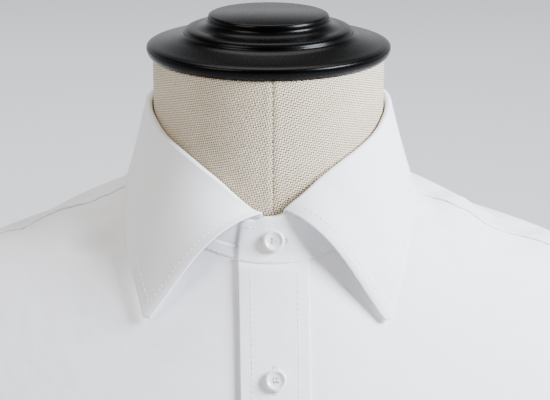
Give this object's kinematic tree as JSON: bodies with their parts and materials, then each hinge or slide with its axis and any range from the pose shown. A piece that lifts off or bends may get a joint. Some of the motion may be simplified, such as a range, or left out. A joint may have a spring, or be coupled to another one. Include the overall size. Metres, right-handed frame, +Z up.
{
  "type": "spread-collar dress shirt on a limbless dress form",
  "caption": "Buttoned long-sleeved dress shirt with a spread collar, worn by a limbless linen dress form with a turned neck cap, pole and round foot.",
  "frame": {"origin": "centre of the foot's underside, on the surface that it stands on", "axes": "+Z up, the shirt's front faces -Y, the wearer's left is +X"},
  "size_m": [0.535, 0.33, 1.0078],
  "materials": {
    "cotton": "white cotton poplin, pressed",
    "button": "polished, pearl white",
    "linen": "natural linen, plain weave",
    "lacquer": "turned, black lacquer, satin",
    "coated_steel": "black powder coat, fine"
  },
  "bodies": {
    "root": {"collar_leaf": "cotton", "collar_stand": "cotton", "yoke": "cotton", "back": "cotton", "front_left": "cotton", "front_right": "cotton", "placket": "cotton", "sleeve_left": "cotton", "sleeve_right": "cotton", "sleeve_placket_left": "cotton", "sleeve_placket_right": "cotton", "cuff_left": "cotton", "cuff_right": "cotton", "button_collar": "button", "button_front_1": "button", "button_front_2": "button", "button_front_3": "button", "button_front_4": "button", "button_front_5": "button", "button_front_6": "button", "button_front_7": "button", "button_cuff_left": "button", "button_cuff_right": "button", "form_torso": "linen", "form_neck_cap": "lacquer", "form_pole": "coated_steel", "form_base": "coated_steel"}
  },
  "joints": []
}
